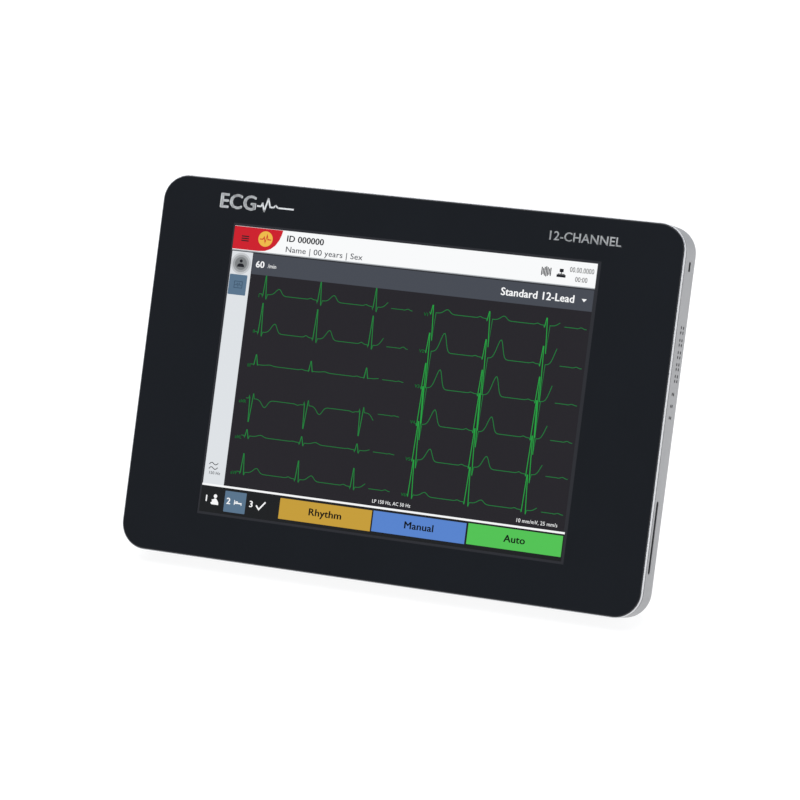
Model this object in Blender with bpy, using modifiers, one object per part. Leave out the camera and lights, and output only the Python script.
"""Tablet-style 12-lead electrocardiograph with a built-in strip printer.

Millimetres in this file, metres in the scene.  Every piece is laid out in the
panel's own frame, which hangs under one empty: x to the right, y into the
device from the front glass, z up the panel from its lower edge.  The empty
leans the whole device back on its rear stand and puts the middle of the
footprint on the world origin.
"""

import math

import bmesh
import bpy
from mathutils import Matrix, Vector

MM = 0.001

# ---- driving dimensions (mm) ------------------------------------------------
LEAN = 20.0  # backward lean of the panel on its stand, degrees
BODY_W, BODY_H = 232.0, 160.6
BODY_R = 11.3  # corner radius of the casing outline
GLASS_W, GLASS_H, GLASS_R, GLASS_T = 230.4, 159.0, 10.5, 1.5
LEDGE_Y = 1.8  # front of the ledge that the glass is bonded to
SEAM_Y = 2.6  # end of the visible bezel wall
CASE_Y0 = 2.9  # front edge of the rear housing
DEPTH = 34.0  # flat back of the rear housing
WALL = 2.2
CREASE_LOW, CREASE_HIGH = 14.7, 16.8  # depth where the side wall turns inward
SIDE_BELLY, SIDE_INSET = 9.5, 17.0  # control and end inset of the side curve
LOW_BELLY, LOW_INSET = 4.7, 14.0  # the lower edge turns in more gently
WINDOW_W, WINDOW_H = 185.0, 143.0  # bezel opening behind the glass
CZ = BODY_H / 2

HINGE_Y, HINGE_Z = 31.9, 54.5  # stand hinge
LEG_T = 3.6
LEG_HALF = 50.0
FOOT_R = 2.0
FOOT_Y, FOOT_Z = 25.4, 6.0  # centre of the rubber strip when folded
FLOOR = -6.2  # world height of the resting plane before the final shift

DOOR_X, DOOR_Y = -20.0, 31.0  # printer door hinge
DOOR_Z = (60.0, 143.0)
PLATEN = (-99.0, 24.0)
IDLER = (-86.45, 19.14)
PINION = (-76.45, 19.14)
MODULE = 0.5
TEETH = {"platen": 24, "idler": 30, "pinion": 10}
GEAR_Z = (60.8, 63.3)

BATTERY_X, BATTERY_Z = (12.0, 98.0), (66.0, 132.0)
SCREWS = [(-90.0, 22.0), (90.0, 22.0), (-10.0, 132.0), (-10.0, 70.0)]
CORNER_SCREWS = [(-98.0, 14.0), (98.0, 14.0), (-98.0, 144.0), (98.0, 144.0)]

# ---- scene ------------------------------------------------------------------
for old in list(bpy.data.objects):
    bpy.data.objects.remove(old, do_unlink=True)

DEVICE = bpy.data.collections.new("ecg_machine")
CUTTERS = bpy.data.collections.new("cutters")
bpy.context.scene.collection.children.link(DEVICE)
bpy.context.scene.collection.children.link(CUTTERS)
CUTTERS.hide_render = True


def finish_of(name, rgb, metallic, roughness):
    mat = bpy.data.materials.new(name)
    mat.use_nodes = True
    shader = mat.node_tree.nodes["Principled BSDF"]
    shader.inputs["Base Color"].default_value = (*rgb, 1.0)
    shader.inputs["Metallic"].default_value = metallic
    shader.inputs["Roughness"].default_value = roughness
    mat.diffuse_color = (*rgb, 1.0)
    return mat


FINISH = {
    "black_glass": ((0.012, 0.014, 0.018), 0.0, 0.08),
    "silver_paint": ((0.60, 0.61, 0.63), 0.55, 0.34),
    "bright_trim": ((0.78, 0.79, 0.80), 0.9, 0.22),
    "display": ((0.05, 0.06, 0.07), 0.0, 0.3),
    "aluminium": ((0.70, 0.71, 0.72), 1.0, 0.4),
    "steel": ((0.55, 0.55, 0.56), 1.0, 0.3),
    "circuit_board": ((0.02, 0.16, 0.07), 0.0, 0.45),
    "dark_plastic": ((0.05, 0.05, 0.055), 0.0, 0.5),
    "grey_plastic": ((0.30, 0.31, 0.33), 0.0, 0.5),
    "white_plastic": ((0.75, 0.75, 0.72), 0.0, 0.5),
    "rubber": ((0.03, 0.03, 0.03), 0.0, 0.85),
    "paper": ((0.86, 0.84, 0.80), 0.0, 0.9),
    "brass": ((0.72, 0.52, 0.22), 1.0, 0.3),
}
FINISH = {name: finish_of(name, *values) for name, values in FINISH.items()}


def empty(name, at, parent=None):
    obj = bpy.data.objects.new(name, None)
    obj.empty_display_size = 0.01
    DEVICE.objects.link(obj)
    if parent:
        obj.parent = parent
        obj.location = (Vector(at) - Vector(PIVOT[parent.name])) * MM
    else:
        obj.location = Vector(at) * MM
    PIVOT[name] = tuple(at)
    return obj


PIVOT = {}
FRAME = empty("device_frame", (0, 0, 0))
FRAME.rotation_euler = (-math.radians(LEAN), 0, 0)


# ---- shape helpers: each returns a mesh in millimetres in the panel frame ----
def cuboid(x, y, z, radius=0.0, along="y", steps=4):
    """A box, with the four edges along one axis rounded."""
    bm = bmesh.new()
    bmesh.ops.create_cube(bm, size=1.0)
    size = Vector((x[1] - x[0], y[1] - y[0], z[1] - z[0]))
    middle = Vector(((x[0] + x[1]) / 2, (y[0] + y[1]) / 2, (z[0] + z[1]) / 2))
    bmesh.ops.scale(bm, vec=size, verts=bm.verts)
    if radius:
        k = "xyz".index(along)
        edges = [
            e
            for e in bm.edges
            if abs((e.verts[0].co - e.verts[1].co).normalized()[k]) > 0.9
        ]
        bmesh.ops.bevel(
            bm, geom=edges, offset=radius, segments=steps, profile=0.5, affect="EDGES"
        )
    bmesh.ops.translate(bm, vec=middle, verts=bm.verts)
    return bm


def rod(axis, at, r, span, sides=20, r_end=None):
    """A cylinder or cone along x, y or z; `at` holds the other two coordinates."""
    bm = bmesh.new()
    bmesh.ops.create_cone(
        bm,
        cap_ends=True,
        segments=sides,
        radius1=r,
        radius2=r if r_end is None else r_end,
        depth=span[1] - span[0],
    )
    turn = {
        "x": Matrix.Rotation(math.radians(90), 4, "Y"),
        "y": Matrix.Rotation(math.radians(-90), 4, "X"),
        "z": Matrix.Identity(4),
    }[axis]
    bmesh.ops.transform(bm, matrix=turn, verts=bm.verts)
    middle = (span[0] + span[1]) / 2
    place = {
        "x": (middle, at[0], at[1]),
        "y": (at[0], middle, at[1]),
        "z": (at[0], at[1], middle),
    }[axis]
    bmesh.ops.translate(bm, vec=Vector(place), verts=bm.verts)
    return bm


def prism(outline, axis, span):
    """A flat outline pushed along an axis."""
    bm = bmesh.new()
    place = {
        "x": lambda u, v: (span[0], u, v),
        "y": lambda u, v: (u, span[0], v),
        "z": lambda u, v: (u, v, span[0]),
    }[axis]
    verts = [bm.verts.new(place(u, v)) for u, v in outline]
    bm.faces.new(verts)
    made = bmesh.ops.extrude_face_region(bm, geom=list(bm.faces))
    push = Vector([span[1] - span[0] if a == axis else 0 for a in "xyz"])
    bmesh.ops.translate(
        bm,
        vec=push,
        verts=[g for g in made["geom"] if isinstance(g, bmesh.types.BMVert)],
    )
    bmesh.ops.recalc_face_normals(bm, faces=bm.faces)
    return bm


def joined(*parts):
    """Several shapes in one mesh, for a cutter."""
    bm = parts[0]
    for other in parts[1:]:
        mesh = bpy.data.meshes.new("join")
        other.to_mesh(mesh)
        bm.from_mesh(mesh)
        bpy.data.meshes.remove(mesh)
        other.free()
    return bm


def rounded(half_w, half_h, r, middle=(0.0, CZ), steps=8):
    """Points round a rounded rectangle."""
    points = []
    for k, (sx, sz) in enumerate(((1, 1), (-1, 1), (-1, -1), (1, -1))):
        for i in range(steps + 1):
            a = math.radians(90 * k + 90 * i / steps)
            points.append(
                (
                    middle[0] + sx * (half_w - r) + r * math.cos(a),
                    middle[1] + sz * (half_h - r) + r * math.sin(a),
                )
            )
    return points


def make(name, bm, finish, parent=FRAME, at=None, cutter=False, smooth=30):
    """An object from a mesh; its origin is `at`, or the middle of its box."""
    low = Vector([min(v.co[k] for v in bm.verts) for k in range(3)])
    high = Vector([max(v.co[k] for v in bm.verts) for k in range(3)])
    origin = Vector(at) if at is not None else (low + high) / 2
    bmesh.ops.translate(bm, vec=-origin, verts=bm.verts)
    bmesh.ops.scale(bm, vec=(MM, MM, MM), verts=bm.verts)
    mesh = bpy.data.meshes.new(name)
    bm.to_mesh(mesh)
    bm.free()
    mesh.shade_smooth()
    mesh.set_sharp_from_angle(angle=math.radians(smooth))
    obj = bpy.data.objects.new(name, mesh)
    (CUTTERS if cutter else DEVICE).objects.link(obj)
    obj.parent = parent
    obj.location = (origin - Vector(PIVOT[parent.name])) * MM
    if cutter:
        obj.hide_render = True
        obj.display_type = "WIRE"
    else:
        mesh.materials.append(FINISH[finish])
    return obj


def tool(name, bm, parent=FRAME):
    return make("cut_" + name, bm, None, parent=parent, cutter=True)


def boolean(obj, other, how="DIFFERENCE"):
    mod = obj.modifiers.new(how.lower() + "_" + other.name, "BOOLEAN")
    mod.operation = how
    mod.object = other
    mod.solver = "EXACT"
    return obj


# ---- casing surface ----------------------------------------------------------
def turn_in(y, start, belly, end):
    """Inset of the casing at depth y: a quadratic curve from the crease to the back."""
    if y <= start:
        return 0.0
    t = 1 - math.sqrt(max(0.0, (DEPTH - y) / (DEPTH - start)))
    return 2 * belly * t * (1 - t) + end * t * t


def inset(y, start, belly, end, d):
    """Inset of the surface that lies d inside the casing's own."""
    if d == 0:
        return turn_in(y, start, belly, end)
    best = 0.0
    for k in range(-24, 25):
        s = k / 24
        at = y + d * s
        if d > 0 and at <= DEPTH:
            best = max(best, turn_in(at, start, belly, end) + d * math.sqrt(1 - s * s))
    if d < 0:
        return turn_in(y, start, belly, end) + d * 1.2
    return best


def casing(d, front, levels=7):
    """The casing's volume, d inside its outer surface, from depth `front` back."""
    back = DEPTH - d
    bm = bmesh.new()
    rings = []
    # an inner surface stays straight past the bezel's skirt before it turns in
    steps = ([-2] if d > 0 and front < 8.0 else []) + list(range(-1, levels + 1))
    for level in steps:
        f = 0.0 if level < 0 else 1 - (1 - level / levels) ** 2
        ring = []
        for k, (sx, sz) in enumerate(((1, 1), (-1, 1), (-1, -1), (1, -1))):
            start = CREASE_HIGH if sz > 0 else CREASE_LOW
            y = (9.0 if level == -1 and len(steps) > levels + 2 else front) if level < 0 else start + (back - start) * f
            side = d if level < 0 else inset(y, start, SIDE_BELLY, SIDE_INSET, d)
            if sz > 0:
                end = d if level < 0 else inset(y, start, SIDE_BELLY, SIDE_INSET, d)
            else:
                end = d if level < 0 else inset(y, start, LOW_BELLY, LOW_INSET, d)
            r = max(2.0, BODY_R - d + 0.22 * min(side, end))
            for i in range(9):
                a = math.radians(90 * k + 90 * i / 8)
                x = sx * (BODY_W / 2 - side - r) + r * math.cos(a)
                z = CZ + sz * (BODY_H / 2 - end - r) + r * math.sin(a)
                ring.append(bm.verts.new((x, y, z)))
        rings.append(ring)
    count = len(rings[0])
    for lower, upper in zip(rings, rings[1:]):
        for i in range(count):
            j = (i + 1) % count
            bm.faces.new((lower[i], upper[i], upper[j], lower[j]))
    bm.faces.new(rings[0])
    bm.faces.new(rings[-1])
    bmesh.ops.triangulate(bm, faces=[f for f in bm.faces if len(f.verts) == 4])
    bmesh.ops.recalc_face_normals(bm, faces=bm.faces)
    return bm


# ---- front ---------------------------------------------------------------------
glass = make(
    "cover_glass",
    prism(rounded(GLASS_W / 2, GLASS_H / 2, GLASS_R), "y", (0.0, GLASS_T)),
    "black_glass",
)
bevel = glass.modifiers.new("edge", "BEVEL")
bevel.width = 0.22 * MM
bevel.segments = 1
bevel.limit_method = "ANGLE"
bevel.angle_limit = math.radians(40)

bezel = make(
    "front_bezel",
    prism(rounded(BODY_W / 2, BODY_H / 2, BODY_R), "y", (0.25, SEAM_Y)),
    "bright_trim",
)
skirt_w, skirt_h = BODY_W / 2 - WALL - 0.4, BODY_H / 2 - WALL - 0.4
boolean(
    bezel,
    tool(
        "bezel_skirt",
        prism(rounded(skirt_w, skirt_h, BODY_R - 2.6), "y", (2.2, 8.0)),
    ),
    "UNION",
)
boolean(
    bezel,
    tool(
        "glass_pocket",
        prism(rounded(GLASS_W / 2 + 0.3, GLASS_H / 2 + 0.3, GLASS_R + 0.3), "y", (-2, LEDGE_Y)),
    ),
)
boolean(
    bezel,
    tool(
        "skirt_inside",
        prism(rounded(skirt_w - 1.6, skirt_h - 1.6, BODY_R - 4.2), "y", (3.4, 12)),
    ),
)
boolean(
    bezel,
    tool(
        "bezel_window",
        prism(rounded(WINDOW_W / 2, WINDOW_H / 2, 2.0, steps=3), "y", (-1, 10)),
    ),
)
for i, (x, z) in enumerate(CORNER_SCREWS, 1):
    boolean(bezel, tool(f"bezel_boss_{i}", rod("y", (x, z), 3.0, (2.7, 8.0), 16)), "UNION")
boolean(
    bezel,
    tool("bezel_threads", joined(*[rod("y", at, 1.3, (4.6, 12), 10) for at in CORNER_SCREWS])),
)
boolean(bezel, tool("card_gap", cuboid((108, 118), (3.6, 12), (16.5, 51.5))))

display = make("display_module", cuboid((-91.5, 91.5), (2.2, 7.6), (CZ - 70.5, CZ + 70.5), 1.5), "display")
boolean(
    display,
    tool("display_bezel_step", cuboid((-82.5, 82.5), (1.0, 2.7), (CZ - 62.3, CZ + 62.3), 0.5)),
)

chassis = make("chassis_plate", cuboid((-104, 104), (8.3, 9.5), (5.2, 149.6), 7.0), "aluminium")
for i, (x, z) in enumerate(SCREWS, 1):
    boolean(chassis, tool(f"standoff_{i}", rod("y", (x, z), 3.2, (9.0, 11.6), 12)), "UNION")
boolean(
    chassis,
    tool(
        "chassis_holes",
        joined(
            *[rod("y", at, 1.5, (6, 14), 10) for at in SCREWS + CORNER_SCREWS],
            cuboid((-70, -30), (6, 14), (95, 125), 4.0, steps=2),
            cuboid((30, 70), (6, 14), (60, 90), 4.0, steps=2),
            cuboid((-20, 20), (6, 14), (18, 40), 4.0, steps=2),
        ),
    ),
)
for i, (x, z) in enumerate(CORNER_SCREWS, 1):
    screw = make(f"chassis_screw_{i}", rod("y", (x, z), 2.4, (9.8, 11.4), 14), "steel")
    boolean(screw, tool(f"chassis_shank_{i}", rod("y", (x, z), 1.0, (5.2, 10.4), 10)), "UNION")
    boolean(screw, tool(f"chassis_drive_{i}", rod("y", (x, z), 1.1, (10.6, 12), 6)))

card = make("card_socket", cuboid((94.0, 112.9), (4.1, 7.9), (17.6, 50.4)), "steel")
boolean(card, tool("card_mouth", cuboid((97.0, 115.0), (5.3, 7.2), (19.8, 48.2))))

# ---- rear housing -----------------------------------------------------------
housing = make("rear_housing", casing(0.0, CASE_Y0), "silver_paint", at=(0, 18, CZ))
boolean(housing, tool("cavity", casing(WALL, 1.0)))

# walls of the stand's recess, kept inside the outer skin
pocket = tool("stand_pocket_block", casing(1.0, 5.0))
boolean(pocket, tool("stand_pocket_core", casing(6.4, 3.0)))
boolean(pocket, tool("stand_pocket_limit", cuboid((-52.8, 52.8), (20.6, 40), (-6, 59.4))), "INTERSECT")
boolean(housing, pocket, "UNION")
# floor under the connector notch
ledge = tool("port_ledge_block", casing(1.0, 5.0))
boolean(ledge, tool("port_ledge_limit", cuboid((-44, 94), (8.2, 40), (150.0, 170))), "INTERSECT")
boolean(housing, ledge, "UNION")
# battery bay
boolean(
    housing,
    tool(
        "battery_bay",
        cuboid((BATTERY_X[0] - 1.4, BATTERY_X[1] + 1.4), (16.4, 32.8), (BATTERY_Z[0] - 1.4, BATTERY_Z[1] + 1.4)),
    ),
    "UNION",
)
for i, (x, z) in enumerate(SCREWS, 1):
    boolean(housing, tool(f"case_boss_{i}", rod("y", (x, z), 4.6, (13.8, 32.8), 16)), "UNION")

boolean(housing, tool("door_lug", cuboid((-24, -16), (27.8, 32.4), (142.8, 146.2))), "UNION")
boolean(
    housing,
    tool("battery_space", cuboid(BATTERY_X, (17.8, 40), BATTERY_Z, 1.0, steps=2)),
)
recess = tool("stand_recess", casing(-1.0, 5.0))
boolean(recess, tool("stand_recess_core", casing(4.3, 3.0)))
boolean(recess, tool("stand_recess_limit", cuboid((-LEG_HALF - 0.6, LEG_HALF + 0.6), (22.6, 40), (-8, 57.0))), "INTERSECT")
boolean(housing, recess)
boolean(housing, tool("stand_pins", rod("x", (HINGE_Y, HINGE_Z), 1.2, (-52.2, 52.2), 10)))
boolean(housing, tool("door_opening", cuboid((-130, DOOR_X + 3.5), (19.5, 40), DOOR_Z)))
boolean(housing, tool("paper_slot", cuboid((-130, -108), (17.6, 21), (66, 138))))
boolean(housing, tool("door_pin_bores", rod("z", (DOOR_X, DOOR_Y), 1.3, (57.7, 148.0), 12)))
boolean(housing, tool("port_notch", cuboid((-42, 92), (10.4, 50), (152.0, 175), 3.0, along="z", steps=3)))
boolean(
    housing,
    tool(
        "port_holes",
        joined(
            cuboid((53.4, 78.6), (13.4, 24.3), (140, 160)),
            cuboid((21.6, 38.4), (13.4, 25.7), (140, 160)),
            cuboid((4.2, 18.3), (13.4, 21.2), (140, 160)),
            cuboid((-12.6, 1.5), (13.4, 21.2), (140, 160)),
            cuboid((-25.2, -15.0), (13.4, 24.4), (140, 160)),
        ),
    ),
)
vents = [
    cuboid((108, 122), (y - 0.55, y + 0.55), (z - 0.55, z + 0.55))
    for z in (119.6, 117.6, 114.5, 112.5, 109.5, 107.5, 104.6, 102.6, 99.8, 97.8)
    for y in (9.0, 12.2)
]
vents += [
    cuboid((108, 122), (y - 0.55, y + 0.55), (z - 0.55, z + 0.55))
    for z in (92.4, 87.6, 82.8)
    for y in (7.9, 9.9)
]
boolean(housing, tool("vents", joined(*vents)))
boolean(
    housing,
    tool(
        "side_openings",
        joined(
            cuboid((108, 122), (5.5, 7.7), (19.3, 48.6)),
            cuboid((108, 122), (8.6, 10.8), (142.8, 146.0)),
        ),
    ),
)
boolean(housing, tool("button_hole", cuboid((-94.3, -79.7), (8.9, 13.5), (150, 165), 2.2, along="z", steps=3)))
boolean(
    housing,
    tool(
        "case_screw_bores",
        joined(*[rod("y", at, 1.6, (8, 31), 10) for at in SCREWS]),
    ),
)
boolean(
    housing,
    tool(
        "case_screw_heads",
        joined(*[rod("y", at, 3.3, (29.0, 40), 16) for at in SCREWS]),
    ),
)
boolean(housing, tool("latch_slot", cuboid((0.6, 10.4), (29, 40), (104.6, 111.4))))
boolean(housing, tool("latch_window", cuboid((9.5, 13.0), (26.2, 28.8), (103.4, 112.6))))
boolean(housing, tool("rear_foot_pockets", joined(
    rod("y", (-82, 42), 5.4, (33.1, 40), 16),
    rod("y", (82, 42), 5.4, (33.1, 40), 16),
    cuboid((34.6, 75.4), (33.1, 40), (134.6, 141.4), 3.3, steps=3),
)))


def level_block(x, y, z, radius=0.0):
    """A box that is level in the world while the panel leans: y and z are world offsets."""
    bm = cuboid(x, y, z, radius, along="z", steps=3)
    bmesh.ops.rotate(bm, matrix=Matrix.Rotation(math.radians(LEAN), 3, "X"), verts=bm.verts)
    return bm


for side, s in (("left", -1), ("right", 1)):
    lo, hi = sorted((s * 72, s * 98))
    boolean(housing, tool(f"foot_pocket_{side}", level_block((lo - 0.4, hi + 0.4), (20.4, 28.4), (-12, -4.4), 2.4)))
    make(f"bottom_foot_{side}", level_block((lo, hi), (20.8, 28.0), (FLOOR, -4.7), 2.0), "rubber")

for i, at in enumerate(SCREWS, 1):
    screw = make(f"case_screw_{i}", rod("y", at, 2.8, (29.4, 31.6), 14), "steel")
    boolean(screw, tool(f"case_shank_{i}", rod("y", at, 1.2, (8.8, 30), 10)), "UNION")
    boolean(screw, tool(f"case_drive_{i}", rod("y", at, 1.3, (30.4, 33), 6)))

make("rear_foot_1", rod("y", (-82, 42), 5.0, (33.4, 35.4), 20), "rubber")
make("rear_foot_2", rod("y", (82, 42), 5.0, (33.4, 35.4), 20), "rubber")
make("rear_foot_3", cuboid((35, 75), (33.4, 35.4), (135, 141), 2.9, steps=4), "rubber")

# ---- electronics ------------------------------------------------------------
board = make("main_board", cuboid((-23, 98), (11.9, 13.5), (8, 149.4), 2.0, steps=2), "circuit_board")
boolean(board, tool("main_board_holes", joined(*[rod("y", at, 2.0, (10, 16), 10) for at in SCREWS[1:]])))
power = make("power_board", cuboid((-104, -27), (11.9, 13.5), (8, 42), 2.0, steps=2), "circuit_board")
boolean(power, tool("power_board_hole", rod("y", SCREWS[0], 2.0, (10, 16), 10)))
make("power_transformer", cuboid((-62, -46), (13.8, 23.0), (14, 30), 1.0, along="z", steps=2), "dark_plastic")
make("capacitor", rod("y", (-34, 24), 4.5, (13.8, 23.5), 16), "dark_plastic")
make("processor_module", cuboid((10, 40), (13.8, 16.0), (18, 48)), "dark_plastic")
sink = make("heat_sink", cuboid((12, 38), (16.3, 21.0), (20, 46)), "aluminium")
boolean(
    sink,
    tool("fins", joined(*[cuboid((x, x + 2.4), (17.6, 23), (18, 48)) for x in (14.0, 18.4, 22.8, 27.2, 31.6)])),
)
make("ecg_shield_can", cuboid((46, 92), (13.8, 16.0), (94, 131), 1.5, steps=2), "steel")

patient = make("patient_connector", cuboid((53.8, 78.2), (13.8, 23.9), (137, 152.8), 1.0, along="z", steps=2), "bright_trim")
boolean(patient, tool("patient_flange", cuboid((46.4, 85.6), (12.6, 25.1), (152.3, 153.2), 1.0, along="z", steps=2)), "UNION")
boolean(
    patient,
    tool("patient_shell", prism([(53.6, 22.9), (78.4, 22.9), (76.9, 14.8), (55.1, 14.8)], "z", (152.6, 158.2))),
    "UNION",
)
boolean(
    patient,
    tool(
        "patient_pins",
        joined(*[rod("z", (55.9 + 2.77 * (k + 0.5), 20.3), 0.6, (154, 160), 6) for k in range(8)],
               *[rod("z", (55.9 + 2.77 * (k + 1.0), 17.4), 0.6, (154, 160), 6) for k in range(7)]),
    ),
)
boolean(
    patient,
    tool("screw_locks", joined(*[rod("z", (x, 18.85), 2.3, (152.9, 158.0), 6) for x in (49.4, 82.6)])),
    "UNION",
)

lan = make("network_socket", cuboid((22, 38), (13.8, 25.3), (136, 153.2)), "steel")
boolean(lan, tool("lan_mouth", cuboid((24.2, 35.8), (15.4, 22.4), (141, 160))))
for i, x0 in enumerate((4.6, -12.2), 1):
    usb = make(f"usb_socket_{i}", cuboid((x0, x0 + 13.3), (13.8, 20.8), (139, 153.2)), "steel")
    boolean(usb, tool(f"usb_mouth_{i}", cuboid((x0 + 0.5, x0 + 12.8), (14.4, 20.2), (141, 160))))
    boolean(usb, tool(f"usb_tongue_{i}", cuboid((x0 + 1.6, x0 + 11.7), (14.1, 15.6), (140, 151.5))), "UNION")
dc = make("dc_inlet", cuboid((-24.8, -15.4), (13.8, 24.0), (139, 153.2)), "dark_plastic")
boolean(dc, tool("dc_mouth", rod("z", (-20.1, 18.9), 3.1, (144, 160), 16)))
boolean(dc, tool("dc_pin", rod("z", (-20.1, 18.9), 0.9, (142, 151.5), 8)), "UNION")

speaker = make("speaker", cuboid((102.2, 108.8), (10.2, 20.4), (80, 122), 1.5, along="x", steps=2), "dark_plastic")
boolean(speaker, tool("speaker_front", cuboid((106.8, 112), (12.0, 18.6), (83, 119), 1.0, along="x", steps=2)))
service = make("service_port", cuboid((105.2, 113.3), (8.3, 11.6), (141.4, 147.4)), "dark_plastic")
boolean(service, tool("service_mouth", cuboid((108, 116), (8.9, 10.7), (142.9, 145.9))))

button = make("power_button", cuboid((-94, -80), (9.2, 13.2), (157.4, 161.0), 1.9, along="z", steps=4), "grey_plastic")
boolean(button, tool("power_button_flange", cuboid((-95.6, -78.4), (8.5, 14.2), (155.7, 157.5), 0.8, along="z", steps=1)), "UNION")
make("power_switch", cuboid((-90, -84), (9.9, 13.5), (148.2, 154.8)), "dark_plastic")

# ---- printer ----------------------------------------------------------------
HINGE_DOOR = empty("printer_door_hinge", (DOOR_X, DOOR_Y, 0), FRAME)
door = make("printer_door", casing(0.0, 10.0), "silver_paint", HINGE_DOOR, at=(DOOR_X, DOOR_Y, 101.5))
boolean(door, tool("door_inside", casing(WALL, 8.0), HINGE_DOOR))
boolean(
    door,
    tool("door_limit", cuboid((-130, DOOR_X), (19.95, 40), (DOOR_Z[0] + 0.35, DOOR_Z[1] - 0.35)), HINGE_DOOR),
    "INTERSECT",
)
boolean(
    door,
    tool("door_barrel", rod("z", (DOOR_X, DOOR_Y), 2.98, (DOOR_Z[0] + 0.35, DOOR_Z[1] - 0.35), 20), HINGE_DOOR),
    "UNION",
)
arms = tool("door_arms", casing(1.0, 10.0), HINGE_DOOR)
boolean(
    arms,
    tool(
        "door_arms_limit",
        joined(
            cuboid((-103.5, -94.5), (21.4, 40), (64, 66)),
            cuboid((-103.5, -94.5), (21.4, 40), (138, 140)),
        ),
        HINGE_DOOR,
    ),
    "INTERSECT",
)
boolean(door, arms, "UNION")
boolean(door, tool("door_bore", rod("z", (DOOR_X, DOOR_Y), 1.3, (50, 150), 12), HINGE_DOOR))
boolean(door, tool("shaft_bores", rod("z", PLATEN, 1.8, (63, 141.6), 12), HINGE_DOOR))
boolean(door, tool("door_latch_slot", cuboid((-75.4, -66.6), (29, 40), (63.6, 73.4)), HINGE_DOOR))
make("printer_door_pin", rod("z", (DOOR_X, DOOR_Y), 1.0, (58.0, 145.6), 12), "steel")


def gear(at, teeth, bore, phase):
    """A spur gear with straight-sided teeth; phase is the angle of one tooth."""
    r = MODULE * teeth / 2
    tip, root = r + 0.8 * MODULE, r - 1.25 * MODULE
    pitch = 2 * math.pi / teeth
    base = pitch * 0.30
    top = pitch * 0.13
    outline = []
    for k in range(teeth):
        a = phase + k * pitch
        for radius, off in ((root, -base), (tip, -top), (tip, top), (root, base)):
            outline.append((at[0] + radius * math.cos(a + off), at[1] + radius * math.sin(a + off)))
    bm = prism(outline, "z", GEAR_Z)
    return bm


def phase_to_mesh(phase, teeth, direction, teeth_next):
    """Phase of the next gear, so that its gap meets the tooth on the line of centres."""
    off = phase - direction
    return direction + math.pi - off * teeth / teeth_next + math.pi / teeth_next


line_1 = math.atan2(IDLER[1] - PLATEN[1], IDLER[0] - PLATEN[0])
line_2 = math.atan2(PINION[1] - IDLER[1], PINION[0] - IDLER[0])
phase_1 = line_1
phase_2 = phase_to_mesh(phase_1, TEETH["platen"], line_1, TEETH["idler"])
phase_3 = phase_to_mesh(phase_2, TEETH["idler"], line_2, TEETH["pinion"])

PLATEN_AXIS = empty("platen_axis", (*PLATEN, 0), HINGE_DOOR)
gear_1 = make("platen_gear", gear(PLATEN, TEETH["platen"], 1.8, phase_1), "white_plastic", PLATEN_AXIS, at=(*PLATEN, 62.05))
boolean(gear_1, tool("platen_gear_bore", rod("z", PLATEN, 1.8, (58, 70), 12), PLATEN_AXIS))
roller = make("platen_roller", rod("z", PLATEN, 4.8, (66.7, 137.3), 28), "rubber", PLATEN_AXIS, at=(*PLATEN, 102))
boolean(roller, tool("roller_bore", rod("z", PLATEN, 1.8, (60, 145), 12), PLATEN_AXIS))
make("platen_shaft", rod("z", PLATEN, 1.5, (60.9, 140.9), 12), "steel", PLATEN_AXIS, at=(*PLATEN, 100.9))

IDLER_AXIS = empty("idler_axis", (*IDLER, 0), FRAME)
gear_2 = make("idler_gear", gear(IDLER, TEETH["idler"], 1.3, phase_2), "white_plastic", IDLER_AXIS, at=(*IDLER, 62.05))
boolean(gear_2, tool("idler_bore", rod("z", IDLER, 1.4, (58, 70), 12), IDLER_AXIS))
PINION_AXIS = empty("pinion_axis", (*PINION, 0), FRAME)
pinion = make("motor_pinion", gear(PINION, TEETH["pinion"], 0, phase_3), "brass", PINION_AXIS, at=(*PINION, 62.05))
boolean(pinion, tool("pinion_shaft", rod("z", PINION, 0.9, (57.2, 63.8), 10), PINION_AXIS), "UNION")

motor = make("paper_feed_motor", rod("z", PINION, 7.4, (44, 59.0), 24), "steel")
boolean(motor, tool("motor_bore", rod("z", PINION, 1.3, (56.8, 62), 10)))
gear_plate = make("gear_bracket", cuboid((-95, -68), (12.2, 27.0), (59.3, 60.2), 2.0, along="z", steps=2), "steel")
boolean(gear_plate, tool("bracket_motor_hole", rod("z", PINION, 1.6, (55, 62), 10)))
boolean(gear_plate, tool("idler_post", rod("z", IDLER, 1.0, (59.6, 63.9), 10)), "UNION")

make("thermal_print_head", cuboid((-107, -92), (15.7, 18.6), (68, 136), 0.6, along="z", steps=2), "aluminium")
head_bracket = make("print_head_bracket", cuboid((-108.5, -91.5), (10.2, 11.4), (66, 138)), "steel")
boolean(head_bracket, tool("bracket_lip", cuboid((-92.8, -91.5), (10.2, 14.6), (66, 138))), "UNION")


def coil(name, at, y, turns=4, r=2.4, wire=0.35, per_turn=9):
    """A compression spring along y."""
    curve = bpy.data.curves.new(name, "CURVE")
    curve.dimensions = "3D"
    curve.bevel_depth = wire * MM
    curve.bevel_resolution = 0
    curve.use_fill_caps = True
    count = turns * per_turn + 1
    spline = curve.splines.new("POLY")
    spline.points.add(count - 1)
    lo, hi = y[0] + wire, y[1] - wire
    for k in range(count):
        a = 2 * math.pi * k / per_turn
        spline.points[k].co = (
            r * math.cos(a) * MM,
            (lo + (hi - lo) * k / (count - 1) - (lo + hi) / 2) * MM,
            r * math.sin(a) * MM,
            1,
        )
    obj = bpy.data.objects.new(name, curve)
    curve.materials.append(FINISH["steel"])
    DEVICE.objects.link(obj)
    obj.parent = FRAME
    obj.location = Vector((at[0], (lo + hi) / 2, at[1])) * MM
    return obj


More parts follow.
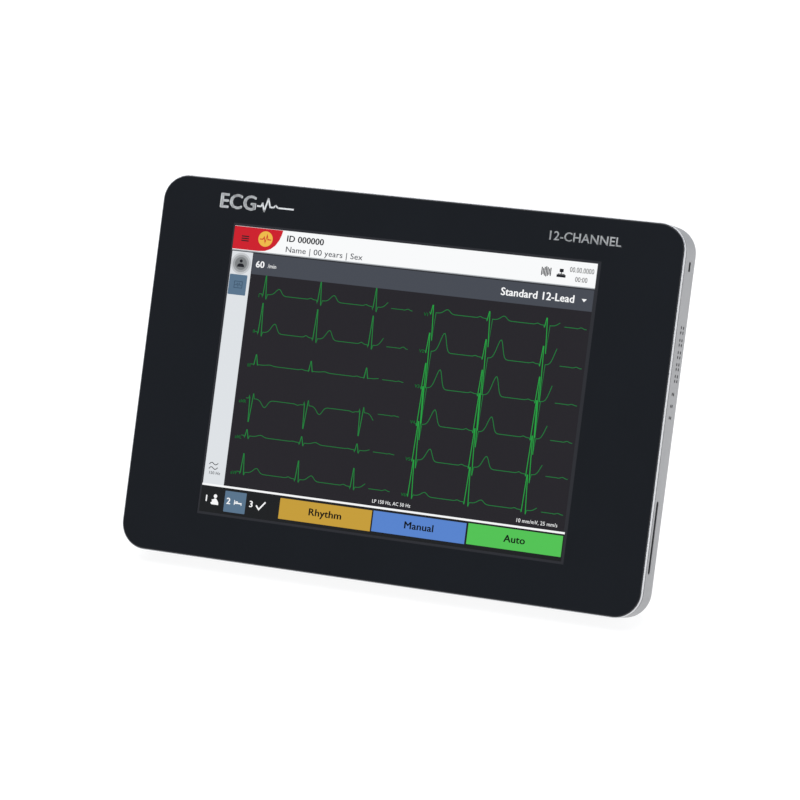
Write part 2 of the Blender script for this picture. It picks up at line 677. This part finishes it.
coil("head_spring_1", (-99.5, 84), (11.8, 15.3))
coil("head_spring_2", (-99.5, 120), (11.8, 15.3))

teeth = 36
edge = []
for k in range(teeth):
    z0 = 66.6 + k * 70.8 / teeth
    edge += [(-110.7, z0), (-111.4, z0 + 70.8 / teeth / 2)]
edge += [(-110.7, 137.4), (-107.7, 137.4), (-107.7, 66.6)]
make("tear_bar", prism(edge, "y", (16.8, 17.3)), "steel")

tray = make("paper_tray", cuboid((-90.5, -25.2), (13.9, 29.6), (64.4, 140.0)), "dark_plastic")
boolean(tray, tool("tray_inside", cuboid((-89.1, -26.6), (15.3, 40), (65.8, 138.6), 1.0, steps=1)))
boolean(tray, tool("tray_exit", cuboid((-95, -86), (18.4, 40), (67.4, 137.0))))
make("paper_pack", cuboid((-88.6, -27.2), (15.7, 27.6), (66.4, 138.0)), "paper")

latch = make("printer_door_latch", cuboid((-76, -66), (30.1, 31.45), (61.2, 76.0)), "dark_plastic", HINGE_DOOR)
boolean(latch, tool("door_latch_knob", cuboid((-75, -67), (30.8, 34.6), (67.0, 73.0), 1.0, steps=2), HINGE_DOOR), "UNION")

# ---- battery ----------------------------------------------------------------
pack = make("battery_pack", cuboid((13.4, 96.6), (18.2, 31.3), (67.4, 130.6), 2.0, steps=3), "dark_plastic")
boolean(pack, tool("battery_notch", cuboid((8, 17.2), (25.6, 29.4), (102.8, 113.2))))
boolean(pack, tool("battery_contact_notch", cuboid((61.2, 82.8), (10, 24.6), (60, 75.9))))
cover = make("battery_cover", cuboid((12.4, 97.6), (31.6, 34.0), (66.4, 131.6), 1.2, steps=2), "silver_paint")
boolean(cover, tool("finger_notch", cuboid((84, 92), (33.0, 40), (90, 108), 3.5, steps=3)))
make("battery_connector", cuboid((62, 82), (18.1, 24.0), (66.6, 75.2)), "dark_plastic")
slide = make("battery_latch", cuboid((0.0, 10.2), (26.6, 28.3), (104.2, 111.8)), "dark_plastic")
boolean(slide, tool("battery_latch_knob", cuboid((1.0, 7.0), (27.4, 34.6), (105.2, 110.8), 0.8, steps=2)), "UNION")

# ---- rear stand ---------------------------------------------------------------
# The strip on the leg's tip rests on the same plane as the feet.
lean = math.radians(LEAN)
hinge_height = HINGE_Z * math.cos(lean) - HINGE_Y * math.sin(lean)
arm_y, arm_z = FOOT_Y - HINGE_Y, FOOT_Z - HINGE_Z
reach = math.hypot(arm_y, arm_z)
OPEN = math.acos((hinge_height - FLOOR - FOOT_R) / reach) - math.atan2(arm_y, -arm_z) + lean

STAND = empty("stand_hinge", (0, HINGE_Y, HINGE_Z), FRAME)
leg = make("rear_stand", casing(0.3, 5.0), "silver_paint", STAND, at=(0, HINGE_Y, HINGE_Z))
boolean(leg, tool("leg_inside", casing(0.3 + LEG_T, 3.0), STAND))
boolean(leg, tool("leg_limit", cuboid((-LEG_HALF, LEG_HALF), (27.9, 40), (-8, HINGE_Z)), STAND), "INTERSECT")
boolean(leg, tool("leg_knuckle", rod("x", (HINGE_Y, HINGE_Z), LEG_T / 2 - 0.02, (-LEG_HALF, LEG_HALF), 16), STAND), "UNION")
boolean(leg, tool("leg_pin_bore", rod("x", (HINGE_Y, HINGE_Z), 1.1, (-60, 60), 10), STAND))
boolean(leg, tool("leg_window", cuboid((-30, 30), (20, 40), (20, 42), 6.0, steps=4), STAND))
make("stand_foot_strip", rod("x", (FOOT_Y, FOOT_Z), FOOT_R, (-44, 44), 20), "rubber", STAND)
STAND.rotation_euler = (OPEN, 0, 0)
make("stand_pin_left", rod("x", (HINGE_Y, HINGE_Z), 0.8, (-51.8, -42), 10), "steel")
make("stand_pin_right", rod("x", (HINGE_Y, HINGE_Z), 0.8, (42, 51.8), 10), "steel")

# ---- put the middle of the footprint on the origin ----------------------------
bpy.context.view_layer.update()
graph = bpy.context.evaluated_depsgraph_get()
low, high = Vector((1e9,) * 3), Vector((-1e9,) * 3)
for obj in DEVICE.objects:
    if obj.type == "EMPTY":
        continue
    shape = obj.evaluated_get(graph)
    mesh = shape.to_mesh()
    for v in mesh.vertices:
        p = shape.matrix_world @ v.co
        for k in range(3):
            low[k] = min(low[k], p[k])
            high[k] = max(high[k], p[k])
    shape.to_mesh_clear()
FRAME.location = -Vector(((low.x + high.x) / 2, (low.y + high.y) / 2, low.z))
bpy.context.view_layer.update()
